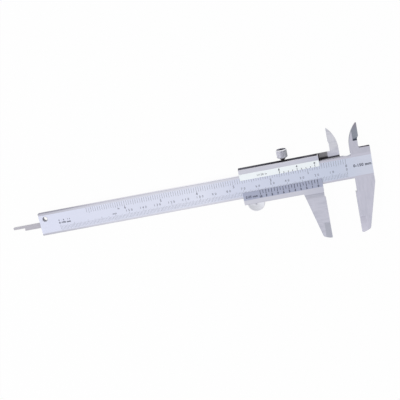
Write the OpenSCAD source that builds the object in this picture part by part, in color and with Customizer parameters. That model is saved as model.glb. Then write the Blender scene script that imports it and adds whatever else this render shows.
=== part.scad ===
// Left-handed vernier caliper, 0 to 150 mm, lying on its back with the scales facing up.
// X runs along the beam towards the fixed jaws, Y towards the inside jaws, Z out of the scales.
// The origin is on the front of the beam, on its centre line, level with the fixed measuring face.

/* [Opening] */
// Gap between the outside measuring faces
opening = 20.2; // [0:0.1:150]

/* [Beam] */
// Width of the graduated beam
beam_w = 16; // [15.8:0.1:16.2]
// Thickness of the beam and of the outside jaws
beam_t = 3.5; // [3.4:0.1:3.8]
// Length from the fixed measuring face to the free end
beam_reach = 217.8; // [217.4:0.2:225]
// Length of the head beyond the fixed measuring face
head_len = 13.5; // [13:0.1:15]
// Height of the head's upper edge above the beam's centre line
head_top = 12; // [11:0.2:13]
// Small chamfer along the beam's edges
beam_chamfer = 0.3; // [0.1:0.05:0.4]
// Radius of the hanging hole
hang_r = 1.7; // [1:0.1:1.9]

/* [Jaws] */
// Reach of the outside jaws below the beam
outside_reach = 38.7; // [36:0.3:42]
// Reach of the inside jaws above the beam
inside_reach = 20.5; // [19:0.25:21]
// Distance from an outside measuring face to the inside measuring edge beside it
inside_offset = 7.4; // [7.3:0.1:7.7]
// Width of the fixed inside jaw at its root
fixed_inside_w = 6.9; // [6.5:0.1:6.9]
// Width of the moving inside jaw at its root
moving_inside_w = 6.4; // [6:0.1:7]
// Relief above the fixed outside measuring face
fixed_relief = 0.95; // [0.6:0.05:1.1]
// Relief above the moving outside measuring face
moving_relief = 0.65; // [0.5:0.05:0.9]
// Width of the thinned strip at the outside jaw tips
nib_w = 4.1; // [3:0.1:5]
// Length of the thinned strip at the outside jaw tips
nib_len = 11.6; // [9:0.2:13]

/* [Slider] */
// Length of the slider's block
slider_len = 53.9; // [53:0.1:54.1]
// Height of the slider's block, across the beam
slider_h = 24.8; // [24.6:0.1:26]
// How far the block's front stands proud of the beam
lip_t = 1.4; // [1.2:0.1:2]
// Thickness of the block's back wall
back_t = 1.5; // [1.5:0.1:2.2]
// Radius of the thumb rest
thumb_r = 5.9; // [5:0.1:7]

/* [Depth rod] */
// Width of the depth rod
rod_w = 3.5; // [3:0.1:4]
// Thickness of the depth rod
rod_t = 1.8; // [1.5:0.1:1.8]
// Width of the relieved tip
rod_tip_w = 1.6; // [1.2:0.1:2.4]
// Length of the relieved tip
rod_tip_len = 8; // [5:0.5:12]

/* [Lock] */
// Radius of the knurled lock knob
knob_r = 3.55; // [3:0.05:3.6]
// Height of the knurled lock knob
knob_h = 5.7; // [4.5:0.1:7]
// Gap under the knob
knob_gap = 2.45; // [2:0.05:4]

/* [Hidden] */

$fn = 48;
eps = 0.01;
steel = [0.72, 0.72, 0.76];
satin = [0.76, 0.78, 0.85];
dark_steel = [0.3, 0.31, 0.34];
bronze = [0.62, 0.48, 0.28];

half_w = beam_w / 2;
half_h = slider_h / 2;
back_z = -beam_t;

// Running clearances between the slider and the beam
side_gap = 0.05;
front_gap = 0.06;
rear_gap = 0.1;
wall_front_z = back_z - rear_gap;
rest_z = wall_front_z - back_t;

// Gib strip between the beam's upper edge and the top rail
gib_t = 1.2;
gib_seat = 0.05;
gib_w = 3.2;
gib_end_gap = 0.5;
gib_y0 = half_w + side_gap;
gib_y1 = gib_y0 + gib_t;
channel_y1 = gib_y1 + gib_seat;
gib_z = back_z / 2;
gib_screw_r = 1.25;
gib_screw_inset = 7.8;
gib_dog_r = 0.8;
gib_dog_depth = 0.3;
thread_gap = 0.05;

// Slider block, placed from its own measuring face
block_x1 = -0.5;
block_x0 = block_x1 - slider_len;
block_chamfer = 0.25;
window_top = 4.7;
window_bottom = -4;
window_edge_z = 0.3;
bevel_top_run = 4.5;
bevel_bottom_run = 5.2;
jaw_fillet = 5;
jaw_fillet_foot = 4.35;
gib_screw_xs = [block_x0 + gib_screw_inset, block_x1 - gib_screw_inset];

// Thumb rest under the slider's left end
thumb_inset = 7.85;
thumb_t = 3.1;
thumb_rim = 0.25;
dish_r = 13;
dish_depth = 1.1;
dish_drop = 1.3;

// Depth rod and the groove it runs in
rod_y = -0.7;
rod_gap = 0.1;
rod_z0 = back_z + 0.2;
rod_z1 = rod_z0 + rod_t;
rod_x1 = -10;
rod_foot_len = 12;
rod_foot_x = rod_x1 - rod_foot_len / 2;
rod_screw_dx = 3.5;
rod_screw_len = 3.3;

// Cover plate let into the back wall, screwed to the rails
cover_t = 0.7;
cover_len = 44;
cover_h = 23;
cover_y = 0.5;
cover_r = 1.5;
cover_x = (block_x0 + block_x1) / 2;
cover_z1 = rest_z + cover_t;
cover_gap = 0.05;
cover_screw_dx = 19.3;
cover_screw_dy = 9.9;
cover_screw_len = 1.9;
window_pad = 1;

// Small countersunk screws
small_r = 0.8;
small_head_r = 1.4;
small_head_h = 0.5;
slot_w = 0.4;
slot_depth = 0.3;

// Lock screw through the top rail, high enough for the knob to clear what the caliper lies on
lock_x = -23.6;
knob_floor_gap = 0.05;
lock_z = rest_z + knob_r + knob_floor_gap;
lock_r = 1.25;
pad_r = 1.2;
pad_t = 0.9;
pad_lift = 0.32;
pad_y0 = gib_y1 + pad_lift;
lock_y0 = pad_y0 + pad_t;
knob_y0 = half_h + knob_gap;
knob_y1 = knob_y0 + knob_h;
knob_chamfer = 0.5;
knob_dish_r = 2.3;
knob_dish_depth = 0.4;
collar_w = 0.6;
collar_h = 0.9;
knurls = 30;
knurl_r = 0.24;

// End stop on the back of the beam
stop_w = 6.2;
stop_x1 = -205;
stop_x = stop_x1 - stop_w / 2;
stop_h = 15;
stop_r = 1;
stop_screw_y = 5.1;
stop_screw_r = 1;
stop_head_r = 1.8;
stop_head_h = 0.8;
stop_screw_len = 3.6;
stop_hole_depth = 2.2;

// Beam details
hang_inset = 4.4;
hang_y = 3.65;
runout_w = 4.9;
runout_depth = 0.6;
runout_r = (runout_w * runout_w / 4 + runout_depth * runout_depth) / (2 * runout_depth);

// Outside jaw outlines
jaw_foot_y = -half_w - 9.45;
tip_y = -half_w - outside_reach;
fixed_taper_y = -12.6;
moving_root_w = 14.05;
nib_thin = 1.1;
nib_slope = nib_thin / nib_w;

// Inside jaw outlines
inside_tip_y = half_w + inside_reach;
inside_arc_r = 21;
inside_arc_y = 13.65;
inside_foot_y = 17.9;
inside_foot_run = 1.6;
fixed_inside_relief = 1.25;
moving_inside_relief = 0.6;
head_x0 = inside_offset - fixed_inside_w;
head_fillet = 1.2;
hollow_x = 3.25;
hollow_y = 17.2;
hollow_wall = 1.6;
hollow_edge = 0.5;
hollow_ledge = 1.7;

// Points of a shallow arc from p to q that bulges by sag to the right of the way
function bow(p, q, sag, n) =
    [for (i = [0 : n]) let (t = i / n, d = q - p, l = norm(d), w = 4 * sag * t * (1 - t))
        p + t * d + w * [d[1], -d[0]] / l];

module along_x(x0, x1) {
    translate([x0, 0, 0])
        rotate([90, 0, 90])
            linear_extrude(x1 - x0)
                children();
}

module along_y(y0, y1) {
    translate([0, y1, 0])
        rotate([90, 0, 0])
            linear_extrude(y1 - y0)
                children();
}

module slab(z0, z1) {
    translate([0, 0, z0])
        linear_extrude(z1 - z0)
            children();
}

module pin_y(x, z, r, y0, y1) {
    translate([x, y1, z])
        rotate([90, 0, 0])
            cylinder(h = y1 - y0, r = r);
}

module on_slider() {
    translate([-opening, 0, 0])
        children();
}

module rounded_plate(w, h, r) {
    intersection() {
        square([w, h], center = true);
        union() {
            square([w - 2 * r, h], center = true);
            square([w, h - 2 * r], center = true);
            for (sx = [-1, 1])
                for (sy = [-1, 1])
                    translate([sx * (w / 2 - r), sy * (h / 2 - r)])
                        circle(r = r);
        }
    }
}

// A countersunk screw, its slotted head flush with z = 0 and its shank towards +Z
module back_screw(len, shank_r, head_r, head_h, slot_a) {
    difference() {
        union() {
            cylinder(h = len, r = shank_r);
            cylinder(h = head_h, r1 = head_r, r2 = shank_r);
        }
        rotate([0, 0, slot_a])
            translate([-head_r - 1, -slot_w / 2, -eps])
                cube([2 * head_r + 2, slot_w, slot_depth + eps]);
    }
}

module screw_hole(len, shank_r, head_r, head_h) {
    cylinder(h = len, r = shank_r + thread_gap);
    cylinder(h = head_h, r1 = head_r, r2 = shank_r);
    translate([0, 0, -1])
        cylinder(h = 1 + eps, r = head_r);
}

// Outline of an inside jaw standing on its measuring edge, which is x = 0
module inside_jaw_outline(w, relief) {
    difference() {
        intersection() {
            translate([0, half_w - 4])
                square([w, inside_tip_y - half_w + 4]);
            union() {
                translate([w - inside_arc_r, inside_arc_y])
                    circle(r = inside_arc_r, $fn = 120);
                translate([0, half_w - 4])
                    square([w, inside_arc_y - half_w + 4]);
            }
        }
        polygon([[-1, half_w - 5], [relief, half_w - 5], [relief, inside_foot_y],
            [0, inside_foot_y + inside_foot_run], [-1, inside_foot_y + inside_foot_run]]);
    }
}

// Outline of an outside jaw, measuring face on x = 0 and the jaw towards +X
module outside_jaw_outline(root_w, root_y, relief) {
    heel = [6.25, tip_y + 3.4];
    polygon(concat(
        [[relief, -half_w + 1], [root_w, -half_w + 1], [root_w, root_y]],
        bow(heel, [4.6, tip_y + 1.55], -0.35, 5),
        [[2.2, tip_y + 0.4], [0.35, tip_y], [0, tip_y + 0.25], [0, jaw_foot_y], [relief, jaw_foot_y]]));
}

// Wedges that thin an outside jaw's tip at its measuring face, front and back
module nib_cuts() {
    along_y(tip_y - 1, tip_y + nib_len) {
        polygon([[-1, 1], [-1, -nib_thin - nib_slope], [nib_w, 0], [nib_w, 1]]);
        polygon([[-1, back_z - 1], [-1, back_z + nib_thin + nib_slope], [nib_w, back_z],
            [nib_w, back_z - 1]]);
    }
}

module beam_section() {
    c = beam_chamfer;
    polygon([[-half_w + c, 0], [-half_w, -c], [-half_w, back_z + c], [-half_w + c, back_z],
        [half_w - c, back_z], [half_w, back_z + c], [half_w, -c], [half_w - c, 0]]);
}

// Head, with the fixed inside jaw and its small root radius above it, the fixed outside jaw below
module head_outline() {
    translate([head_x0, -half_w])
        square([head_len - head_x0, half_w + head_top]);
    translate([inside_offset, 0])
        mirror([1, 0])
            inside_jaw_outline(fixed_inside_w, fixed_inside_relief);
    translate([inside_offset - fixed_inside_relief, head_top])
        difference() {
            translate([-1, -1])
                square([1 + head_fillet, 1 + head_fillet]);
            translate([head_fillet, head_fillet])
                circle(r = head_fillet);
        }
    outside_jaw_outline(head_len, fixed_taper_y, fixed_relief);
}

// Hollow ground front of the fixed inside jaw, thinning it to its measuring edge
module inside_hollow() {
    slope = (-beam_t + hollow_edge + hollow_wall) / (inside_offset - hollow_x);
    intersection() {
        along_y(hollow_y, inside_tip_y + 1)
            polygon([[hollow_x, 1], [hollow_x, -hollow_wall], [inside_offset, back_z + hollow_edge],
                [inside_offset + 1, back_z + hollow_edge + slope], [inside_offset + 1, 1]]);
        along_x(hollow_x - 1, inside_offset + 2)
            polygon([[hollow_y, 1], [hollow_y, 0], [hollow_y + beam_t / hollow_ledge, back_z],
                [inside_tip_y + 1, back_z], [inside_tip_y + 1, 1]]);
    }
}

module beam() {
    color(satin)
        difference() {
            union() {
                along_x(-beam_reach, head_x0 + 1)
                    beam_section();
                slab(back_z, 0)
                    head_outline();
            }
            nib_cuts();
            inside_hollow();
            // Run-out in the upper edge beside the fixed inside jaw
            intersection() {
                translate([head_x0 - runout_w / 2, half_w + runout_r - runout_depth, back_z - 1])
                    cylinder(h = beam_t + 2, r = runout_r, $fn = 96);
                translate([head_x0 - runout_w, half_w - 2, back_z - 1])
                    cube([runout_w, 3, beam_t + 2]);
            }
            // Groove for the depth rod, open at the free end
            translate([-beam_reach - 1, rod_y - rod_w / 2 - rod_gap, back_z - 1])
                cube([beam_reach + rod_x1 + 2, rod_w + 2 * rod_gap, rod_z1 + rod_gap - back_z + 1]);
            translate([hang_inset - beam_reach, hang_y, back_z - 1])
                cylinder(h = beam_t + 2, r = hang_r);
            for (s = [-1, 1])
                translate([stop_x, s * stop_screw_y, back_z - 1])
                    cylinder(h = 1 + stop_hole_depth, r = stop_screw_r + thread_gap);
        }
}

// Cross-section of the slider's block: rails, front lips with their bevels, back wall
module block_section() {
    c = block_chamfer;
    difference() {
        polygon([[-half_h + c, lip_t], [-half_h, lip_t - c], [-half_h, rest_z + c],
            [-half_h + c, rest_z], [half_h - c, rest_z], [half_h, rest_z + c],
            [half_h, lip_t - c], [half_h - c, lip_t]]);
        polygon([[-half_w - side_gap, front_gap], [channel_y1, front_gap],
            [channel_y1, wall_front_z], [-half_w - side_gap, wall_front_z]]);
        polygon([[window_bottom - bevel_bottom_run, lip_t], [window_bottom, window_edge_z],
            [window_bottom, -1], [window_top, -1], [window_top, window_edge_z],
            [window_top + bevel_top_run, lip_t], [window_top + bevel_top_run, lip_t + 1],
            [window_bottom - bevel_bottom_run, lip_t + 1]]);
    }
}

// Arm and blade of the moving inside jaw, level with the back wall
module moving_inside_jaw() {
    arm_x1 = inside_offset + moving_inside_w;
    arm_r = 3;
    edge_z = wall_front_z - hollow_edge;
    difference() {
        slab(rest_z, wall_front_z)
            difference() {
                union() {
                    translate([inside_offset, 0])
                        inside_jaw_outline(moving_inside_w, moving_inside_relief);
                    translate([block_x1 - 1, half_w - 4])
                        square([arm_x1 - block_x1 + 1, half_h - half_w + 4]);
                    translate([block_x1 - 1, half_w - 4 - arm_r])
                        square([1 + arm_r, arm_r + 1]);
                }
                translate([block_x1 + arm_r, half_w - 4 - arm_r])
                    circle(r = arm_r);
            }
        // The blade is bevelled behind its measuring edge
        along_y(inside_foot_y, inside_tip_y + 1)
            polygon([[inside_offset - 1, edge_z], [inside_offset, edge_z], [inside_offset + 3, rest_z],
                [inside_offset + 3, rest_z - 1], [inside_offset - 1, rest_z - 1]]);
    }
}

// Concave fillet from the block down to a jaw face at z = 0, above it
module jaw_fillet_section() {
    foot_y = -half_h - jaw_fillet_foot;
    difference() {
        translate([foot_y, -0.5])
            square([1 - half_h - foot_y, jaw_fillet + 0.5]);
        translate([foot_y, jaw_fillet])
            circle(r = jaw_fillet);
    }
}

module moving_outside_jaw() {
    intersection() {
        union() {
            slab(back_z, 0)
                translate([-20, tip_y - 1])
                    square([20, half_w + outside_reach]);
            along_x(-20, 0)
                jaw_fillet_section();
            along_x(-20, 0)
                translate([0, back_z])
                    mirror([0, 1])
                        jaw_fillet_section();
        }
        slab(rest_z, lip_t)
            difference() {
                mirror([1, 0])
                    outside_jaw_outline(moving_root_w, -half_h, moving_relief);
                translate([-20, -half_h + 1])
                    square([21, half_h]);
            }
    }
}

module thumb_rest() {
    x = block_x0 + thumb_inset;
    z1 = back_z + thumb_t;
    difference() {
        union() {
            translate([x, -half_h, back_z])
                cylinder(h = thumb_t, r = thumb_r - thumb_rim, $fn = 96);
            translate([x, -half_h, back_z + thumb_rim])
                cylinder(h = thumb_t - 2 * thumb_rim, r = thumb_r, $fn = 96);
        }
        translate([x, -half_h - dish_drop, z1 + dish_r - dish_depth])
            sphere(r = dish_r, $fn = 96);
        translate([x, -half_h - dish_drop, z1 - dish_depth - 0.4])
            cylinder(h = 2, r = 0.4);
        translate([x - thumb_r - 1, -half_h + 1, back_z - 1])
            cube([2 * thumb_r + 2, thumb_r + 1, thumb_t + 2]);
    }
}

module at_cover_screws() {
    for (sx = [-1, 1])
        for (sy = [-1, 1])
            translate([cover_x + sx * cover_screw_dx, cover_y + sy * cover_screw_dy, rest_z])
                children();
}

module at_rod_screws() {
    for (s = [-1, 1])
        translate([rod_foot_x + s * rod_screw_dx, rod_y, rest_z])
            children();
}

module slider_frame() {
    color(steel)
        on_slider()
            difference() {
                union() {
                    along_x(block_x0, block_x1)
                        block_section();
                    moving_inside_jaw();
                    moving_outside_jaw();
                    thumb_rest();
                }
                nib_cut_moving();
                // Tapped holes through the top rail
                for (x = gib_screw_xs)
                    pin_y(x, gib_z, gib_screw_r + thread_gap, half_w, half_h + 1);
                pin_y(lock_x, lock_z, lock_r + thread_gap, half_w, half_h + 1);
                // Recess for the cover plate and the window for the rod's foot
                translate([cover_x, cover_y, 0])
                    slab(rest_z - 1, cover_z1)
                        rounded_plate(cover_len + 2 * cover_gap, cover_h + 2 * cover_gap, cover_r + cover_gap);
                translate([rod_x1 - rod_foot_len - window_pad, rod_y - rod_w / 2 - window_pad, rest_z - 1])
                    cube([rod_foot_len + 2 * window_pad, rod_w + 2 * window_pad, back_t + 1.5]);
                at_cover_screws()
                    cylinder(h = cover_screw_len + 0.1, r = small_r + thread_gap);
            }
}

module nib_cut_moving() {
    mirror([1, 0, 0])
        nib_cuts();
}

module depth_rod() {
    color(steel)
        on_slider()
            difference() {
                union() {
                    translate([-beam_reach, rod_y - rod_w / 2, rod_z0])
                        cube([beam_reach + rod_x1, rod_w, rod_t]);
                    translate([rod_x1 - rod_foot_len, rod_y - rod_w / 2, cover_z1])
                        cube([rod_foot_len, rod_w, rod_z0 - cover_z1 + 1]);
                }
                translate([-beam_reach - 1, rod_y - rod_w / 2 - 1, rod_z0 - 1])
                    cube([rod_tip_len + 1, rod_w - rod_tip_w + 1, rod_t + 2]);
                at_rod_screws()
                    cylinder(h = 4, r = small_r + thread_gap);
            }
}

module gib_strip() {
    color(bronze)
        on_slider()
            difference() {
                translate([block_x0 + gib_end_gap, gib_y0, gib_z - gib_w / 2])
                    cube([slider_len - 2 * gib_end_gap, gib_t, gib_w]);
                for (x = gib_screw_xs)
                    pin_y(x, gib_z, gib_dog_r + thread_gap, gib_y1 - gib_dog_depth, gib_y1 + 1);
            }
}

module gib_screw(x) {
    color(dark_steel)
        on_slider()
            difference() {
                union() {
                    pin_y(x, gib_z, gib_screw_r, gib_y1, half_h);
                    pin_y(x, gib_z, gib_dog_r, gib_y1 - gib_dog_depth, gib_y1 + eps);
                }
                translate([x - 2, half_h - 2 * slot_depth, gib_z - slot_w / 2])
                    cube([4, 1, slot_w]);
            }
}

module gib_screw_left() {
    gib_screw(gib_screw_xs[0]);
}

module gib_screw_right() {
    gib_screw(gib_screw_xs[1]);
}

module lock_pad() {
    color("goldenrod")
        on_slider()
            pin_y(lock_x, lock_z, pad_r, pad_y0, pad_y0 + pad_t);
}

module lock_screw() {
    color(steel)
        on_slider()
            union() {
                pin_y(lock_x, lock_z, lock_r, lock_y0, knob_y1 - 0.1);
                pin_y(lock_x, lock_z, lock_r + collar_w, knob_y0 - collar_h, knob_y0);
            }
}

module lock_knob() {
    color(steel)
        on_slider()
            translate([lock_x, knob_y1, lock_z])
                rotate([90, 0, 0])
                    difference() {
                        intersection() {
                            linear_extrude(knob_h)
                                difference() {
                                    circle(r = knob_r);
                                    for (i = [0 : knurls - 1])
                                        rotate(i * 360 / knurls)
                                            translate([knob_r + knurl_r * 0.25, 0])
                                                circle(r = knurl_r, $fn = 13);
                                }
                            rotate_extrude()
                                polygon([[0, 0], [knob_r - knob_chamfer, 0], [knob_r, knob_chamfer],
                                    [knob_r, knob_h - knob_chamfer], [knob_r - knob_chamfer, knob_h], [0, knob_h]]);
                        }
                        translate([0, 0, -1])
                            cylinder(h = 1 + knob_dish_depth, r = knob_dish_r);
                        translate([0, 0, -1])
                            cylinder(h = knob_h + 2, r = lock_r);
                    }
}

module cover_plate() {
    color(satin)
        on_slider()
            difference() {
                translate([cover_x, cover_y, 0])
                    slab(rest_z, cover_z1)
                        rounded_plate(cover_len, cover_h, cover_r);
                at_cover_screws()
                    screw_hole(cover_t + 1, small_r, small_head_r, small_head_h);
                at_rod_screws()
                    screw_hole(cover_t + 1, small_r, small_head_r, small_head_h);
            }
}

module cover_screw(sx, sy, slot_a) {
    color(dark_steel)
        on_slider()
            translate([cover_x + sx * cover_screw_dx, cover_y + sy * cover_screw_dy, rest_z])
                back_screw(cover_screw_len, small_r, small_head_r, small_head_h, slot_a);
}

module cover_screw_top_left() {
    cover_screw(-1, 1, 20);
}

module cover_screw_top_right() {
    cover_screw(1, 1, 75);
}

module cover_screw_bottom_left() {
    cover_screw(-1, -1, 130);
}

module cover_screw_bottom_right() {
    cover_screw(1, -1, 50);
}

module rod_screw(s, slot_a) {
    color(dark_steel)
        on_slider()
            translate([rod_foot_x + s * rod_screw_dx, rod_y, rest_z])
                back_screw(rod_screw_len, small_r, small_head_r, small_head_h, slot_a);
}

module rod_screw_left() {
    rod_screw(-1, 100);
}

module rod_screw_right() {
    rod_screw(1, 35);
}

module end_stop() {
    color(satin)
        difference() {
            translate([stop_x, 0, 0])
                slab(rest_z, back_z)
                    rounded_plate(stop_w, stop_h, stop_r);
            for (s = [-1, 1])
                translate([stop_x, s * stop_screw_y, rest_z])
                    screw_hole(stop_screw_len, stop_screw_r, stop_head_r, stop_head_h);
        }
}

module end_stop_screw(s, slot_a) {
    color(dark_steel)
        translate([stop_x, s * stop_screw_y, rest_z])
            back_screw(stop_screw_len, stop_screw_r, stop_head_r, stop_head_h, slot_a);
}

module end_stop_screw_top() {
    end_stop_screw(1, 60);
}

module end_stop_screw_bottom() {
    end_stop_screw(-1, 15);
}

beam();
slider_frame();
depth_rod();
gib_strip();
gib_screw_left();
gib_screw_right();
lock_pad();
lock_screw();
lock_knob();
cover_plate();
cover_screw_top_left();
cover_screw_top_right();
cover_screw_bottom_left();
cover_screw_bottom_right();
rod_screw_left();
rod_screw_right();
end_stop();
end_stop_screw_top();
end_stop_screw_bottom();
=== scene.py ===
import math

import bmesh
import bpy
from mathutils import Matrix, Vector


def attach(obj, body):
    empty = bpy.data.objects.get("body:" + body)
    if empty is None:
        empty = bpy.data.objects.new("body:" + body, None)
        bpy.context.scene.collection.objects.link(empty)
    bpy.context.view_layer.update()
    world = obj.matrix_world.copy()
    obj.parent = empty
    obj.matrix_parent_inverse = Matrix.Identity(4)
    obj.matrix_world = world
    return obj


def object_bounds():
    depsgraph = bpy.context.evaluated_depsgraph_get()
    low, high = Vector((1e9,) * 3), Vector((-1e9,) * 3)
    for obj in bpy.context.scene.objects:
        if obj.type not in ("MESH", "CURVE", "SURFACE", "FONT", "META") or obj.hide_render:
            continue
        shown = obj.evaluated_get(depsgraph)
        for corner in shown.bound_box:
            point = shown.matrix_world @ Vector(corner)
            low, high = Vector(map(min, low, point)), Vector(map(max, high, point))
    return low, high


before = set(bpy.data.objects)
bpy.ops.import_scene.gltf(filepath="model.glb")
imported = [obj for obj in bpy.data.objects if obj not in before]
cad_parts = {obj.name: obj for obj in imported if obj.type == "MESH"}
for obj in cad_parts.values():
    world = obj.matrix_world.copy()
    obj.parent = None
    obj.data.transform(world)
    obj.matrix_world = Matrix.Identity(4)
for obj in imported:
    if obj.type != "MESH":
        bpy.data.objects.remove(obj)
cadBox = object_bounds()
mm = 0.001
white = (1, 1, 1, 1)
black = (0, 0, 0, 1)


def tone(colour):  # a colour as an 8-bit screen shows it, made linear
    def linear(value):
        part = value / 255
        return part / 12.92 if part <= 0.04045 else ((part + 0.055) / 1.055) ** 2.4
    return tuple(linear(part) for part in colour) + (1,)


rimLook = {"samples": 4, "bent": 0.8, "flat": 0.98}  # cosines between a rim's own direction and its flat's


# Wire wraps one output socket, so that shader maths reads as plain sums
class Wire:
    def __init__(self, paint, socket):
        self.paint = paint
        self.socket = socket

    def __add__(self, other):
        return self.paint.maths("ADD", self, other)

    def __sub__(self, other):
        return self.paint.maths("SUBTRACT", self, other)

    def __rsub__(self, other):
        return self.paint.maths("SUBTRACT", other, self)

    def __mul__(self, other):
        return self.paint.maths("MULTIPLY", self, other)

    def __truediv__(self, other):
        return self.paint.maths("DIVIDE", self, other)

    def __rtruediv__(self, other):
        return self.paint.maths("DIVIDE", other, self)

    __radd__ = __add__
    __rmul__ = __mul__


# Paint holds the node tree of one material or of the world, and the few ways its nodes are added
class Paint:
    def __init__(self, owner):
        self.owner = owner
        owner.use_nodes = True
        self.tree = owner.node_tree
        self.tree.nodes.clear()

    def node(self, kind, settings=None, sockets=None, out=0):
        made = self.tree.nodes.new(kind)
        for key, value in (settings or {}).items():
            if key == "stops":
                self.setStops(made.color_ramp, value)
            else:
                setattr(made, key, value)
        for key, value in (sockets or {}).items():
            if isinstance(key, int):
                socket = made.inputs[key]
            else:
                socket = next(one for one in made.inputs if one.name == key and one.enabled)
            if isinstance(value, Wire):
                self.tree.links.new(value.socket, socket)
            else:
                socket.default_value = value
        if isinstance(out, int):
            return Wire(self, [one for one in made.outputs if one.enabled][out])
        return Wire(self, made.outputs[out])

    def setStops(self, ramp, stops):
        ramp.elements.remove(ramp.elements[1])
        ramp.elements[0].position, ramp.elements[0].color = stops[0]
        for place, colour in stops[1:]:
            ramp.elements.new(place).color = colour

    def maths(self, operation, first, second):
        return self.node("ShaderNodeMath", {"operation": operation}, {0: first, 1: second})

    def largest(self, first, second):
        return self.maths("MAXIMUM", first, second)

    def ramp(self, value, low, high, stops):  # a run of tones, each given with its own place from low to high
        made = [((place - low) / (high - low), tone(colour)) for place, colour in stops]
        return self.node("ShaderNodeValToRGB", {"stops": made}, {"Fac": (value - low) / (high - low)})

    def step(self, value, low, high, fromValue=0.0, toValue=1.0):  # smooth from one value to the other
        return self.node("ShaderNodeMapRange", {"interpolation_type": "SMOOTHSTEP"},
                         {"Value": value, "From Min": low, "From Max": high,
                          "To Min": fromValue, "To Max": toValue})

    def fade(self, value, low, high):  # 1 below low, 0 above high
        return self.step(value, low, high, 1.0, 0.0)

    def band(self, value, low, high, soft):  # 1 between low and high
        return self.step(value, low - soft, low + soft) * self.fade(value, high - soft, high + soft)

    def near(self, spot, middle, reach, soft):  # 1 within reach of a point, 0 beyond it
        far = self.node("ShaderNodeVectorMath", {"operation": "DISTANCE"}, {0: spot, 1: middle}, "Value")
        return self.fade(far, reach - soft, reach + soft)

    def mix(self, factor, first, second):
        return self.node("ShaderNodeMix", {"data_type": "RGBA"}, {"Factor": factor, "A": first, "B": second})

    def layers(self, colour, *coats):  # each coat is a mask and the wire or screen colour that it lays on
        for mask, coat in coats:
            colour = self.mix(mask, colour, coat if isinstance(coat, Wire) else tone(coat))
        return colour

    def noise(self, place, scale, detail=3.0, roughness=0.5):
        return self.node("ShaderNodeTexNoise", None,
                         {"Vector": place, "Scale": scale, "Detail": detail, "Roughness": roughness})

    def stretched(self, place, x, y, z):
        return self.node("ShaderNodeVectorMath", {"operation": "MULTIPLY"}, {0: place, 1: (x, y, z)})

    def spot(self):  # the point on the part in millimetres
        place = self.node("ShaderNodeTexCoord", out="Object")
        return self.node("ShaderNodeVectorMath", {"operation": "SCALE"}, {0: place, "Scale": 1 / mm})

    def facing(self):  # x, y and z of the surface's direction on the part
        return self.parts(self.node("ShaderNodeTexCoord", out="Normal"))

    def parts(self, vector):
        first = self.node("ShaderNodeSeparateXYZ", None, {0: vector})
        return tuple(Wire(self, one) for one in first.socket.node.outputs)

    def rounded(self, reach):  # the surface's direction with its rims rounded off
        return self.node("ShaderNodeBevel", {"samples": rimLook["samples"]}, {"Radius": reach * mm})

    def edges(self, reach):  # 1 on the rims of a piece, 0 on its flats
        flat = self.node("ShaderNodeNewGeometry", out="Normal")
        meet = self.node("ShaderNodeVectorMath", {"operation": "DOT_PRODUCT"},
                         {0: self.rounded(reach), 1: flat}, "Value")
        return self.fade(meet, rimLook["bent"], rimLook["flat"])

    def bump(self, height, strength, depth, reach=None):
        sockets = {"Height": height, "Strength": strength, "Distance": depth * mm}
        if reach:
            sockets["Normal"] = self.rounded(reach)
        return self.node("ShaderNodeBump", None, sockets)

    def show(self, surface, kind="ShaderNodeOutputMaterial"):
        self.tree.links.new(surface.socket, self.tree.nodes.new(kind).inputs["Surface"])
        return self.owner

    def finish(self, sockets):
        return self.show(self.node("ShaderNodeBsdfPrincipled", None, sockets))


def newPaint(name):
    return Paint(bpy.data.materials.new(name))


# Camera
cameraLook = {
    "turn": -7.641, "tip": 15.0, "roll": 12.533,  # degrees about the part's Y, X and Z
    "across": 100.7, "up": 21.88, "distance": 500.0,  # where the part's origin stands before the lens, mm
    "focal": 754.44, "frameSize": 400, "sensor": 36.0,
    "nearest": 0.01, "farthest": 20}


def addCamera(look):
    turned = (Matrix.Rotation(math.radians(look["roll"]), 3, "Z")
              @ Matrix.Rotation(math.radians(look["tip"]), 3, "X")
              @ Matrix.Rotation(math.radians(look["turn"]), 3, "Y"))
    offset = Vector((look["across"], look["up"], -look["distance"])) * mm
    data = bpy.data.cameras.new("camera")
    data.sensor_fit = "HORIZONTAL"
    data.sensor_width = look["sensor"]
    data.lens = look["focal"] / look["frameSize"] * look["sensor"]
    data.clip_start = look["nearest"]
    data.clip_end = look["farthest"]
    camera = bpy.data.objects.new("camera", data)
    bpy.context.scene.collection.objects.link(camera)
    back = turned.transposed()
    camera.matrix_world = Matrix.Translation(-(back @ offset)) @ back.to_4x4()
    bpy.context.scene.camera = camera


addCamera(cameraLook)
print("camera placed")


# Studio
studioLook = {
    "floorSize": 4.0, "floorTone": (244, 244, 246), "floorGlow": 0.97, "floorMirrored": 0.5,
    "floorGrain": (0.02, 2.0), "floorGrainTone": 0.985,  # noises are a scale, detail and roughness
    "skyLight": 0.5, "zenith": 0.75,
    "keyFrom": (-0.776, -0.176, 0.606), "keyDistance": 1.5, "keySize": (0.2, 0.2), "keyPower": 6.8,
    "boxPlace": (-0.45, -0.26, 1.0), "boxSize": (1.5, 0.8), "boxPower": 1.95}

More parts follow.
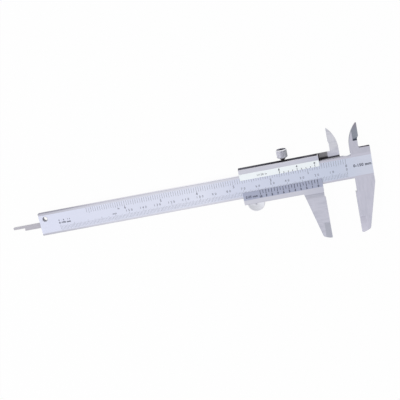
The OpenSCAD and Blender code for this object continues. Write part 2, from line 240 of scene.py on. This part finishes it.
# Narrow glowing sheets beside the upper edges, shown only to the steel that stands on the floor: painted
# reflections. Each has a name, two corners as x and y, and the tones along x
cardLook = {
    "glow": 1.2, "rise": 0.1, "nap": (0.5, 2.0), "napShare": 0.05,
    "cards": (
        ("beamCard", (-222.0, 8.02), (-75.2, 10.6),
         ((-212, (160, 159, 169)), (-197, (167, 166, 175)), (-178, (213, 212, 219)), (-137, (228, 227, 231)),
          (-100, (252, 252, 252)))),
        ("sliderCard", (-75.0, 12.42), (-21.0, 15.8),
         ((-72, (96, 96, 104)), (-61, (79, 79, 86)), (-42, (27, 24, 29)), (-37, (78, 78, 84)),
          (-32, (66, 65, 74)), (-27, (94, 93, 101)), (-22, (53, 52, 58)))),
        ("knobFootCard", (-49.0, 20.6), (-39.6, 22.2), ((-48, (62, 60, 67)), (-40, (84, 82, 89)))),
        ("knobCard", (-49.0, 22.22), (-39.0, 25.0), ((-48, (206, 206, 216)), (-40, (196, 197, 206)))),
        ("headCard", (6.2, 12.02), (20.0, 14.8),
         ((7, (112, 109, 120)), (9, (84, 81, 91)), (10.5, (109, 103, 111)), (13, (75, 70, 77)))),
        ("gapCard", (-7.0, 8.02), (1.2, 10.6),
         ((-6.2, (172, 172, 180)), (-2.6, (196, 197, 202)), (0.6, (168, 171, 180)))))}


def seenBy(paint, camera, mirrored):  # one share for what the camera sees, one for what metal and glass show
    direct, glossy, clear = (paint.node("ShaderNodeLightPath", out=ray)
                             for ray in ("Is Camera Ray", "Is Glossy Ray", "Is Transmission Ray"))
    return paint.largest(direct * camera, paint.largest(glossy, clear) * mirrored)


def addSheet(name, material, low, high, level):
    (left, front), (right, back) = low, high
    corners = ((left, front, level), (right, front, level), (right, back, level), (left, back, level))
    mesh = bpy.data.meshes.new(name)
    mesh.from_pydata(corners, [], [(0, 1, 2, 3)])
    mesh.materials.append(material)
    sheet = bpy.data.objects.new(name, mesh)
    bpy.context.scene.collection.objects.link(sheet)
    return sheet


def addFloor(look, level):
    paint = newPaint("paleFloor")
    grain = paint.noise(paint.spot(), *look["floorGrain"])
    pale = tone(look["floorTone"])
    colour = paint.mix(grain, pale, tuple(part * look["floorGrainTone"] for part in pale[:3]) + (1,))
    matt = paint.node("ShaderNodeBsdfDiffuse", None, {"Color": colour})
    glow = paint.node("ShaderNodeEmission", None, {"Color": white, "Strength": 1.0})
    share = seenBy(paint, look["floorGlow"], look["floorMirrored"])
    material = paint.show(paint.node("ShaderNodeMixShader", None, {0: share, 1: matt, 2: glow}))
    half = look["floorSize"] / 2
    addSheet("floor", material, (-half, -half), (half, half), level)


def addSky(look):
    world = bpy.data.worlds.new("studioSky")
    bpy.context.scene.world = world
    paint = Paint(world)
    height = paint.parts(paint.node("ShaderNodeTexCoord", out="Generated"))[2]
    shown = paint.step(height, 0.0, 1.0, 1.0, look["zenith"])  # white at the horizon, softer overhead
    shown = paint.largest(shown, paint.node("ShaderNodeLightPath", out="Is Camera Ray"))
    share = seenBy(paint, 1.0, 1.0)
    strength = share * shown + (1 - share) * look["skyLight"]
    glow = paint.node("ShaderNodeBackground", None, {"Color": white, "Strength": strength})
    paint.show(glow, "ShaderNodeOutputWorld")


def addLamp(name, place, aim, size, power):
    data = bpy.data.lights.new(name, "AREA")
    data.shape = "RECTANGLE"
    data.size, data.size_y = size
    data.energy = power
    lamp = bpy.data.objects.new(name, data)
    bpy.context.scene.collection.objects.link(lamp)
    lamp.location = place
    lamp.rotation_mode = "QUATERNION"
    lamp.rotation_quaternion = (Vector(place) - aim).to_track_quat("Z", "Y")


def addCard(look, level, name, low, high, tones):  # glows with its own tones, and only the metal shows it, as a painted reflection
    paint = newPaint(name)
    spot = paint.spot()
    nap = paint.noise(spot, *look["nap"])
    run = paint.ramp(paint.parts(spot)[0], low[0], high[0], tones)
    material = paint.finish({"Base Color": black, "Roughness": 1.0, "Specular IOR Level": 0.0,
                             "Emission Color": paint.mix(nap * look["napShare"], run, black),
                             "Emission Strength": look["glow"]})
    low, high = (tuple(part * mm for part in corner) for corner in (low, high))
    card = addSheet(name, material, low, high, level + look["rise"] * mm)
    for rays in ("camera", "diffuse", "shadow", "transmission"):
        setattr(card, "visible_" + rays, False)


partLow, partHigh = cadBox
partCentre = (partLow + partHigh) / 2
addFloor(studioLook, partLow.z)
addSky(studioLook)
for card in cardLook["cards"]:
    addCard(cardLook, partLow.z, *card)
addLamp("keyLamp", partCentre + Vector(studioLook["keyFrom"]) * studioLook["keyDistance"], partCentre,
        studioLook["keySize"], studioLook["keyPower"])
addLamp("softBox", studioLook["boxPlace"], Vector(studioLook["boxPlace"][:2] + (0,)),
        studioLook["boxSize"], studioLook["boxPower"])
bpy.context.scene.view_settings.view_transform = "Standard"
print("studio lit")


def dress(material, *nodes):
    for name in nodes:
        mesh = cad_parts[name].data
        mesh.materials.clear()
        mesh.materials.append(material)


# Ground steel, as the beam and the slider share it
steelLook = {
    "grain": (6.0, 2.0), "lines": (1.0, 4.0, 0.6), "bands": (1.0, 2.0, 0.7),
    "lineFrom": 0.35, "lineShare": 0.5, "bandFrom": 0.4, "bandTo": 0.7, "bandShare": 0.35, "cloudShare": 0.12,
    "rim": (236, 236, 242), "rimReach": 0.1, "rimShare": 0.35,
    "metal": 0.7, "plainMetal": 0.3,  # what every face has, and what the plain sides have besides
    "mattRough": 0.2, "lineRough": 0.12, "mattBump": 0.6, "bump": 0.35, "bumpDepth": 0.02}


def drawnLines(paint, spot, look, upright):  # fine lines, across the metal where it stands upright
    along, across = (paint.noise(paint.stretched(spot, *look[way]), *steelLook["lines"])
                     for way in ("along", "across"))
    return upright * across + (1 - upright) * along


def groundBands(paint, spot, look, upright):  # broad bands that the grinding wheel leaves
    bands = paint.noise(paint.stretched(spot, *look["bandWay"]), *steelLook["bands"]) * upright
    return paint.step(bands, steelLook["bandFrom"], steelLook["bandTo"]) * steelLook["bandShare"]


def finishSteel(paint, spot, colour, metal, rough, matt, drawn):
    grain = paint.noise(spot, *steelLook["grain"])
    height = grain * matt * steelLook["mattBump"] + drawn * (1 - matt)
    normal = paint.bump(height, steelLook["bump"], steelLook["bumpDepth"], steelLook["rimReach"])
    return paint.finish({"Base Color": colour, "Metallic": metal, "Roughness": rough, "Normal": normal})


# Beam. A finish, a painted light or a painted shade comes or goes between the two numbers of a pair: places
# in mm, or for front, sides, ledgeWay, edgeFront and edgeLeft shares of the surface's direction. field and
# dull give both its ends
beamLook = {
    "left": -218.0, "right": 13.5,  # these runs of tones go along x
    # satin's run along x is painted light and shade: lighter in the middle, darker at the right end, against
    # the lamps' fall; ground darkens towards both ends
    "satin": ((-212, (206, 209, 225)), (-100, (221, 224, 238)), (-80, (213, 217, 234)),
              (-10, (204, 211, 229)), (8, (211, 215, 230))),
    "ground": ((-212, (176, 176, 187)), (-170, (201, 201, 212)), (-110, (212, 212, 222)),
               (-15, (193, 192, 206))),
    # flank's near-white stretch beside the head is a painted highlight
    "flank": ((-60, (228, 227, 234)), (-22, (250, 249, 255)), (-10, (250, 249, 255)), (-4, (228, 227, 234))),
    "low": -46.7, "high": 28.5,  # and these along y
    # hollow and ledge are painted shade: the fixed inside jaw's front recess and the step at its foot
    "hollow": ((17, (158, 164, 176)), (24, (155, 160, 173)), (28.5, (154, 147, 161))),
    "nib": ((-46.7, (193, 192, 205)), (-35, (172, 171, 185))),
    "jaw": (196, 195, 209), "inside": (187, 186, 199), "ledge": (96, 102, 114), "insideEdge": (84, 76, 96),
    # hole is painted light: a pale, less metallic bore that lifts the shade inside it; lip is a dark ring
    # round its mouth
    "worn": (168, 170, 184), "hole": (196, 196, 206), "lip": (96, 98, 114),
    "along": (0.12, 5.0, 5.0), "across": (4.0, 0.12, 4.0), "bandWay": (0.5, 0.08, 0.08), "cloud": (0.05, 3.0),
    "front": (0.6, 0.95), "sides": (0.5, 0.8),
    "field": (-6.6, 6.4), "fieldSoft": 0.12, "fieldLevel": (-0.35, -0.1),
    "jawTop": (-8.25, -8.05), "insideFoot": (8.05, 8.25),
    "nibTop": (-35.1, -35.0), "nibLevel": (-0.06, -0.02),
    "hollowFoot": (16.9, 17.2), "hollowLevel": (-0.2, -0.05),
    "ledgeWay": (0.3, 0.6), "ledgeLevel": (-1.7, -1.3),
    "edgeFront": (0.3, 0.6), "edgeLeft": (-0.8, -0.4), "edgeFoot": (15.0, 18.5),
    "holePlace": (-213.4, 3.65, 0.0), "holeReach": 1.85, "holeSoft": 0.15,
    "lipReach": 1.8, "lipSoft": 0.05, "lipLevel": (-0.4, -0.2),
    "dull": (-20.0, -6.0), "dullSoft": 1.5, "dullLoss": 0.65, "rough": 0.3, "sideRough": 0.16}


def beamMaterial(look):
    paint = newPaint("satinBeam")
    spot = paint.spot()
    x, y, z = paint.parts(spot)
    outX, outY, outZ = paint.facing()
    front = paint.step(outZ, *look["front"])
    sides = paint.step(outY * outY, *look["sides"])
    field = paint.band(y, *look["field"], look["fieldSoft"]) * front * paint.step(z, *look["fieldLevel"])
    jaw = paint.fade(y, *look["jawTop"])
    inside = paint.step(y, *look["insideFoot"])
    nib = paint.fade(y, *look["nibTop"]) * paint.fade(z, *look["nibLevel"]) * front
    # painted shade in the recess and on its step
    hollow = paint.step(y, *look["hollowFoot"]) * paint.fade(z, *look["hollowLevel"])
    ledge = hollow * paint.step(outY, *look["ledgeWay"]) * paint.step(z, *look["ledgeLevel"])
    insideEdge = paint.fade(outZ, *look["edgeFront"]) * paint.fade(outX, *look["edgeLeft"])
    insideEdge = insideEdge * paint.step(y, *look["edgeFoot"])
    flat = paint.stretched(spot, 1.0, 1.0, 0.0)
    # the bore's painted light, and the dark ring at its lip
    ring = paint.near(flat, look["holePlace"], look["holeReach"], look["holeSoft"])
    lip = paint.near(flat, look["holePlace"], look["lipReach"], look["lipSoft"])
    lip = lip * paint.step(z, *look["lipLevel"])
    cloud = paint.noise(spot, *look["cloud"])
    upright = paint.largest(jaw, inside)
    drawn = drawnLines(paint, spot, look, upright)
    strip, flank, satin = (paint.ramp(x, look["left"], look["right"], look[key])
                           for key in ("ground", "flank", "satin"))
    nibTone, hollowTone = (paint.ramp(y, look["low"], look["high"], look[key]) for key in ("nib", "hollow"))
    colour = paint.layers(
        strip,
        (jaw, look["jaw"]),
        (inside, look["inside"]),
        (sides, flank),
        ((drawn - steelLook["lineFrom"]) * (1 - field) * steelLook["lineShare"], look["worn"]),
        (groundBands(paint, spot, look, upright), look["worn"]),
        (field, satin),
        (nib, nibTone),
        (insideEdge, look["insideEdge"]),
        (hollow, hollowTone),
        (ledge, look["ledge"]),
        (cloud * steelLook["cloudShare"], look["worn"]),
        (paint.edges(steelLook["rimReach"]) * steelLook["rimShare"], steelLook["rim"]),
        (ring, look["hole"]),
        (lip, look["lip"]))
    dull = sides * paint.band(x, *look["dull"], look["dullSoft"])  # the side beside the head is made less metallic, so that its painted highlight shows instead of the dark arm it mirrors
    metal = (sides - dull) * steelLook["plainMetal"] + steelLook["metal"]
    metal = metal - paint.largest(dull, ring) * look["dullLoss"]
    rough = field * steelLook["mattRough"] + drawn * steelLook["lineRough"] + look["rough"]
    rough = rough * (1 - sides) + sides * look["sideRough"]
    return finishSteel(paint, spot, colour, metal, rough, field, drawn)


dress(beamMaterial(beamLook), "beam")
print("beam finished")


# Slider, given in the same way. Its windows are the two bevels that carry the verniers
sliderLook = {
    "left": -75.0, "right": -20.0,
    "land": ((-72, (202, 202, 213)), (-38, (201, 201, 213)), (-25, (192, 193, 207))),
    # the upper bevel's near white and the lower bevel's darker tone are painted reflections
    "upperBevel": (247, 252, 255), "lowerBevel": (176, 181, 203),
    "side": (186, 187, 197), "top": (228, 227, 234),
    # cove is painted shade in a band below the block, and coveTop a painted highlight on the strip next to it
    "jaw": (196, 196, 209), "nib": (192, 194, 207), "cove": (184, 184, 197), "coveTop": (200, 200, 212),
    # the tones after blade are painted shadow on the moving jaw's arm: cast by the block, along the beam's
    # edge, and darkest in the corner
    "blade": (206, 206, 214), "shade": (120, 119, 122), "shadeFoot": (74, 74, 83), "deepShade": (34, 32, 36),
    # thumb is a painted reflection: the dished rest is pale and less metallic, so it shows flat and bright
    "thumb": (232, 233, 240), "pip": (178, 179, 188), "worn": (158, 160, 174),
    "along": (0.12, 4.0, 4.0), "across": (4.0, 0.12, 4.0), "bandWay": (0.08, 0.5, 0.08), "cloud": (0.06, 3.0),
    "windowTop": 4.7, "windowBottom": -4.0, "topRun": 4.5, "bottomRun": 5.2, "windowSoft": 0.05,
    "windowEdge": 0.3, "landHeight": 1.4,
    "front": (0.6, 0.9), "raised": (0.0, 0.2), "topWay": (0.5, 0.8),
    "armLevel": (-3.4, -3.3), "armFoot": (0.0, 0.1), "bladeFoot": (9.6, 15.6), "shadeEnd": (-14.7, -13.7),
    "footTop": (8.7, 9.2), "deepTop": (9.0, 10.1), "deepEnd": (-20.4, -19.4),
    "nibTop": (-35.1, -35.0), "nibSide": (-24.3, -24.2),
    "coveFoot": (-19.0, -14.2), "coveTopFoot": (-14.2, -13.1),
    "thumbPlace": (-66.75, -12.4, -2.0), "thumbReach": 6.0, "thumbSoft": 0.3, "thumbTop": (-12.4, -12.3),
    "pipPlace": (-66.9, -13.4, -2.0), "pipReach": 0.5, "pipSoft": 0.9,
    "rough": 0.32, "topRough": 0.16, "thumbLoss": 0.6}


def sliderMaterial(look):
    paint = newPaint("satinSlider")
    spot = paint.spot()
    x, y, z = paint.parts(spot)
    outY, outZ = paint.facing()[1:]
    front = paint.step(outZ, *look["front"])
    raised = paint.step(z, *look["raised"])
    land = raised * front
    windowTop, windowBottom, soft = (look[key] for key in ("windowTop", "windowBottom", "windowSoft"))
    upper = paint.band(y, windowTop, windowTop + look["topRun"], soft) * land
    lower = paint.band(y, windowBottom - look["bottomRun"], windowBottom, soft) * land
    top = paint.step(outY, *look["topWay"])
    arm = paint.fade(z, *look["armLevel"]) * paint.step(y, *look["armFoot"])  # the moving inside jaw's
    blade = arm * paint.step(y, *look["bladeFoot"]) * front
    # painted shadow of the block and the beam on the arm
    shade = arm * paint.fade(x, *look["shadeEnd"])
    shadeFoot = arm * paint.fade(y, *look["footTop"]) * front
    deepShade = paint.largest(paint.fade(y, *look["deepTop"]), paint.fade(x, *look["deepEnd"])) * shade * front
    nib = paint.fade(y, *look["nibTop"]) * paint.step(x, *look["nibSide"]) * front
    thumb = paint.near(spot, look["thumbPlace"], look["thumbReach"], look["thumbSoft"])
    thumb = thumb * paint.fade(y, *look["thumbTop"])
    pip = paint.near(spot, look["pipPlace"], look["pipReach"], look["pipSoft"]) * thumb
    # painted shade and highlight at the jaw's root below the block
    cove = (1 - raised) * front * (1 - arm)
    cloud = paint.noise(spot, *look["cloud"])
    upright = 1 - raised
    drawn = drawnLines(paint, spot, look, upright)
    colour = paint.layers(
        tone(look["side"]),
        (front, look["jaw"]),
        (land, paint.ramp(x, look["left"], look["right"], look["land"])),
        (blade, look["blade"]),
        ((drawn - steelLook["lineFrom"]) * steelLook["lineShare"], look["worn"]),
        (groundBands(paint, spot, look, upright), look["worn"]),
        # painted reflections on the two bevels
        (upper, look["upperBevel"]),
        (lower, look["lowerBevel"]),
        (nib, look["nib"]),
        (cove * paint.step(y, *look["coveFoot"]), look["cove"]),
        (cove * paint.step(y, *look["coveTopFoot"]), look["coveTop"]),
        (cloud * steelLook["cloudShare"], look["worn"]),
        (paint.edges(steelLook["rimReach"]) * steelLook["rimShare"], steelLook["rim"]),
        (top, look["top"]),
        (shade, look["shade"]),
        (shadeFoot, look["shadeFoot"]),
        (deepShade, look["deepShade"]),
        (thumb, look["thumb"]),
        (pip, look["pip"]))
    matt = paint.largest(paint.largest(upper, lower), thumb)
    metal = top * steelLook["plainMetal"] + steelLook["metal"] - thumb * look["thumbLoss"]
    rough = matt * steelLook["mattRough"] + drawn * steelLook["lineRough"] + look["rough"]
    rough = rough * (1 - top) + top * look["topRough"]
    return finishSteel(paint, spot, colour, metal, rough, matt, drawn)


dress(sliderMaterial(sliderLook), "slider_frame")
print("slider finished")


# Small pieces of steel, bronze and brass
smallLook = {
    "lines": (1.0, 4.0, 0.6), "lineShare": 0.5, "lineRough": 0.15, "cloud": (0.4, 3.0), "cloudShare": 0.25,
    "rim": (236, 236, 240), "rimReach": 0.08, "rimShare": 0.35, "topWay": (0.5, 0.8),
    "bump": 0.3, "bumpDepth": 0.02}

smallPieces = {
    "groundRod": {
        "base": (177, 175, 183), "dark": (134, 132, 140), "top": (205, 203, 211),
        "metal": 0.75, "rough": 0.35,
        "way": (0.2, 5.0, 5.0), "nodes": ("depth_rod",)},
    "satinPlate": {
        "base": (200, 201, 212), "dark": (160, 161, 172), "metal": 0.75, "rough": 0.35,
        "way": (0.15, 4.0, 4.0), "nodes": ("cover_plate", "end_stop")},
    "darkScrew": {
        "base": (92, 93, 100), "dark": (60, 61, 68), "metal": 0.9, "rough": 0.32,
        "way": (5.0, 5.0, 5.0), "nodes": (
            "cover_screw_top_left", "cover_screw_top_right",
            "cover_screw_bottom_left", "cover_screw_bottom_right",
            "rod_screw_left", "rod_screw_right", "end_stop_screw_top", "end_stop_screw_bottom")},
    "paleScrew": {
        "base": (150, 150, 158), "dark": (110, 110, 118), "metal": 0.9, "rough": 0.32,
        "way": (5.0, 5.0, 5.0), "nodes": ("gib_screw_left", "gib_screw_right")},
    # near black, painted shade for the neck between the knob and the slider
    "darkThread": {
        "base": (26, 23, 27), "dark": (14, 12, 15), "metal": 0.3, "rough": 0.6,
        "way": (1.0, 8.0, 1.0), "nodes": ("lock_screw",)},
    "drawnBronze": {
        "base": (176, 138, 84), "dark": (130, 98, 56), "metal": 0.9, "rough": 0.35,
        "way": (0.2, 5.0, 5.0), "nodes": ("gib_strip",)},
    "turnedBrass": {
        "base": (196, 160, 92), "dark": (150, 118, 62), "metal": 0.9, "rough": 0.3,
        "way": (5.0, 0.5, 5.0), "nodes": ("lock_pad",)}}


def smallMaterial(name, piece, look):
    paint = newPaint(name)
    spot = paint.spot()
    drawn = paint.noise(paint.stretched(spot, *piece["way"]), *look["lines"])
    cloud = paint.noise(spot, *look["cloud"])
    colour = paint.layers(
        tone(piece["base"]),
        (drawn * look["lineShare"], piece["dark"]),
        (cloud * look["cloudShare"], piece["dark"]),
        (paint.edges(look["rimReach"]) * look["rimShare"], look["rim"]))
    if "top" in piece:
        colour = paint.layers(colour, (paint.step(paint.facing()[1], *look["topWay"]), piece["top"]))
    return paint.finish({"Base Color": colour, "Metallic": piece["metal"],
                         "Roughness": drawn * look["lineRough"] + piece["rough"],
                         "Normal": paint.bump(drawn, look["bump"], look["bumpDepth"], look["rimReach"])})


for name, piece in smallPieces.items():
    dress(smallMaterial(name, piece, smallLook), *piece["nodes"])


# Lock knob
knobLook = {
    "left": -47.4, "right": -40.2,
    # barrel's run along x is painted light and shade, lighter on the lit left side; chamfer's near white is a
    # painted highlight
    "barrel": ((-47.4, (208, 207, 218)), (-43.8, (178, 178, 189)), (-41.5, (190, 192, 199)),
               (-40.2, (176, 180, 182))),
    "top": (216, 216, 228), "chamfer": (250, 250, 254), "turned": (150, 152, 160),
    "chamferWay": (0.3, 0.5), "topWay": (0.8, 0.95),
    "way": (0.4, 6.0, 0.4), "lines": (1.0, 3.0, 0.6), "lineShare": 0.25,
    "cloud": (0.5, 3.0), "cloudShare": 0.2,
    "rough": 0.45, "lineRough": 0.15, "topRough": 0.12, "metal": 0.6, "topMetal": 0.4,
    "bump": 0.3, "bumpDepth": 0.005, "rimReach": 0.08}


def knobMaterial(look):
    paint = newPaint("turnedKnob")
    spot = paint.spot()
    outY = paint.facing()[1]
    cloud = paint.noise(spot, *look["cloud"])
    turned = paint.noise(paint.stretched(spot, *look["way"]), *look["lines"])
    shoulder = paint.step(outY, *look["chamferWay"])
    # painted light and shade across the barrel and on the chamfer
    colour = paint.layers(
        paint.ramp(paint.parts(spot)[0], look["left"], look["right"], look["barrel"]),
        (turned * look["lineShare"], look["turned"]),
        (cloud * look["cloudShare"], look["turned"]),
        (shoulder, look["chamfer"]),
        (paint.step(outY, *look["topWay"]), look["top"]))
    rough = (turned * look["lineRough"] + look["rough"]) * (1 - shoulder) + shoulder * look["topRough"]
    return paint.finish({"Base Color": colour, "Metallic": shoulder * look["topMetal"] + look["metal"],
                         "Roughness": rough,
                         "Normal": paint.bump(turned, look["bump"], look["bumpDepth"], look["rimReach"])})


dress(knobMaterial(knobLook), "lock_knob")
print("small pieces finished")


# Marks
markLook = {
    "zero": 3.6, "opening": 20.2,  # from a measuring face to its scale's zero, and the jaws' gap at rest
    "proud": 0.012, "sunk": 0.02, "fine": 0.11, "thin": 0.14, "bold": 0.34,
    "inch": 25.4, "figureShare": 0.72, "curveSteps": 3, "weld": 0.0001}


def frontOfBeam(y):  # the beam's front is flat
    return 0.0


def frontOfSlider(y):  # rises over each bevel from the window's edge to the land
    look = sliderLook
    if y > 0:
        share = (y - look["windowTop"]) / look["topRun"]
    else:
        share = (look["windowBottom"] - y) / look["bottomRun"]
    return look["windowEdge"] + (look["landHeight"] - look["windowEdge"]) * min(max(share, 0.0), 1.0)


def addTick(made, x, yFrom, yTo, width, surface):
    rows = []
    for y in (yFrom, yTo):
        for height in (-markLook["sunk"], markLook["proud"]):
            for side in (-width / 2, width / 2):
                rows.append(made.verts.new(Vector((x + side, y, surface(y) + height)) * mm))
    for face in ((0, 1, 3, 2), (4, 6, 7, 5), (0, 4, 5, 1), (2, 3, 7, 6), (0, 2, 6, 4), (1, 5, 7, 3)):
        made.faces.new([rows[corner] for corner in face])


def addWords(made, surface, words, x, y, height, spacing=1.0, weight=0.02, slant=0.0):
    curve = bpy.data.curves.new("words", "FONT")
    curve.body = words
    curve.align_x = "CENTER"
    curve.align_y = "CENTER"
    curve.size = height / markLook["figureShare"]
    curve.space_character = spacing
    curve.offset = weight
    curve.shear = slant
    curve.resolution_u = markLook["curveSteps"]
    curve.extrude = (markLook["sunk"] + markLook["proud"]) / 2
    holder = bpy.data.objects.new("words", curve)
    bpy.context.scene.collection.objects.link(holder)
    bpy.context.view_layer.update()
    mesh = bpy.data.meshes.new_from_object(holder.evaluated_get(bpy.context.evaluated_depsgraph_get()))
    letters = bmesh.new()
    letters.from_mesh(mesh)
    bmesh.ops.remove_doubles(letters, verts=letters.verts, dist=markLook["weld"])
    middle = (markLook["proud"] - markLook["sunk"]) / 2
    moved = {}
    for point in letters.verts:
        spotY = y + point.co.y
        spotZ = surface(spotY) + middle + point.co.z
        moved[point] = made.verts.new(Vector((x + point.co.x, spotY, spotZ)) * mm)
    for face in letters.faces:
        made.faces.new([moved[point] for point in face.verts])
    letters.free()
    bpy.data.objects.remove(holder)
    bpy.data.curves.remove(curve)
    bpy.data.meshes.remove(mesh)


def keepMarks(made, name, material, body):
    bmesh.ops.recalc_face_normals(made, faces=made.faces)
    mesh = bpy.data.meshes.new(name)
    made.to_mesh(mesh)
    made.free()
    mesh.materials.append(material)
    piece = bpy.data.objects.new(name, mesh)
    bpy.context.scene.collection.objects.link(piece)
    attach(piece, body)


inkLook = {
    "wear": (1.2, 3.0), "wearFrom": 0.45, "wearTo": 0.75, "wearShare": 0.35,
    "rough": 0.5, "wearRough": 0.2, "bump": 0.2, "bumpDepth": 0.01,
    "filledInk": ((40, 43, 58), (96, 98, 110)),  # each ink has its own tone and its worn one
    "paleInk": ((62, 66, 84), (110, 112, 126)),
    "deepInk": ((16, 22, 50), (60, 66, 92))}


def inkMaterial(name, look):
    paint = newPaint(name)
    ink, worn = look[name]
    wear = paint.noise(paint.spot(), *look["wear"])
    share = paint.step(wear, look["wearFrom"], look["wearTo"]) * look["wearShare"]
    colour = paint.layers(tone(ink), (share, worn))
    return paint.finish({"Base Color": colour, "Roughness": wear * look["wearRough"] + look["rough"],
                         "Normal": paint.bump(wear, look["bump"], look["bumpDepth"])})


# Legends are given as words, x, y, height, spacing, weight and slant
beamScale = {
    "millimetres": 200, "bottom": -6.2, "short": -3.2, "middle": -2.7, "long": -2.2,
    "numberY": -1.05, "numberHeight": 1.6, "numberSpacing": 1.75, "numberWeight": 0.0, "lastNumber": 150,
    "sixteenths": 113, "inchTop": 6.2, "inchShort": 2.8, "inchQuarter": 2.5, "inchLong": 2.2,
    "inchNumberY": 1.35, "inchNumberHeight": 1.75, "lastInch": 6,
    "legends": (
        ("mm", -164.2, -1.6, 1.3, 1.2, 0.03, 0.0),
        ("in", -160.6, 1.5, 1.3, 1.1, 0.03, 0.0),
        ("0-6 in", -200.0, 1.0, 1.2, 2.1, 0.02, 0.0),
        ("0-150 mm", -200.0, -0.9, 1.3, 1.15, 0.09, 0.0),
        ("0-150 mm", 6.9, 0.35, 1.9, 1.1, 0.1, 0.0))}


def addBeamScale(look, tickInk, numberInk):
    zero = -markLook["zero"]
    ticks = bmesh.new()
    for count in range(look["millimetres"] + 1):
        top = "long" if count % 10 == 0 else "middle" if count % 5 == 0 else "short"
        addTick(ticks, zero - count, look["bottom"], look[top], markLook["fine"], frontOfBeam)
    for count in range(look["sixteenths"] + 1):
        low = "inchLong" if count % 16 == 0 else "inchQuarter" if count % 4 == 0 else "inchShort"
        x = zero - count * markLook["inch"] / 16
        addTick(ticks, x, look[low], look["inchTop"], markLook["thin"], frontOfBeam)
    keepMarks(ticks, "beam_graduations", tickInk, "beam")
    words = bmesh.new()
    for number in range(0, look["lastNumber"] + 1, 10):
        addWords(words, frontOfBeam, str(number), zero - number, look["numberY"], look["numberHeight"],
                 look["numberSpacing"], look["numberWeight"])
    for number in range(look["lastInch"] + 1):
        addWords(words, frontOfBeam, str(number), zero - number * markLook["inch"], look["inchNumberY"],
                 look["inchNumberHeight"])
    for legend in look["legends"]:
        addWords(words, frontOfBeam, *legend)
    keepMarks(words, "beam_numerals", numberInk, "beam")


vernierScale = {
    "parts": 20, "step": 1.95, "from": -4.05, "short": -6.2, "long": -7.0, "lastNumber": 10,
    "numberY": -8.25, "numberHeight": 1.4, "weight": 0.08,
    "inchParts": 8, "inchSpan": 15 / 16, "inchFrom": 4.75, "inchShort": 5.9, "inchLong": 6.6,
    "inchNumbers": (0, 4, 8), "inchNumberY": 7.65, "inchNumberHeight": 1.4,
    "legends": (
        ("1/128 in", -59.4, 6.65, 1.2, 1.25, 0.04, 0.0),
        ("0.05 mm", -69.0, -7.35, 1.6, 1.05, 0.05, 0.2))}


def addVernier(look, ink):
    zero = -markLook["opening"] - markLook["zero"]
    inchStep = markLook["inch"] * look["inchSpan"] / look["inchParts"]
    ticks = bmesh.new()
    for count in range(look["parts"] + 1):
        end = look["long"] if count % 2 == 0 else look["short"]
        addTick(ticks, zero - count * look["step"], end, look["from"], markLook["bold"], frontOfSlider)
    for count in range(look["inchParts"] + 1):
        end = look["inchLong"] if count % 4 == 0 else look["inchShort"]
        addTick(ticks, zero - count * inchStep, look["inchFrom"], end, markLook["bold"], frontOfSlider)
    keepMarks(ticks, "vernier_graduations", ink, "slider")
    words = bmesh.new()
    for number in range(look["lastNumber"] + 1):
        addWords(words, frontOfSlider, str(number), zero - number * 2 * look["step"], look["numberY"],
                 look["numberHeight"], weight=look["weight"])
    for number in look["inchNumbers"]:
        addWords(words, frontOfSlider, str(number), zero - number * inchStep, look["inchNumberY"],
                 look["inchNumberHeight"], weight=look["weight"])
    for legend in look["legends"]:
        addWords(words, frontOfSlider, *legend)
    keepMarks(words, "vernier_numerals", ink, "slider")


addBeamScale(beamScale, inkMaterial("filledInk", inkLook), inkMaterial("paleInk", inkLook))
addVernier(vernierScale, inkMaterial("deepInk", inkLook))
print("scales marked")
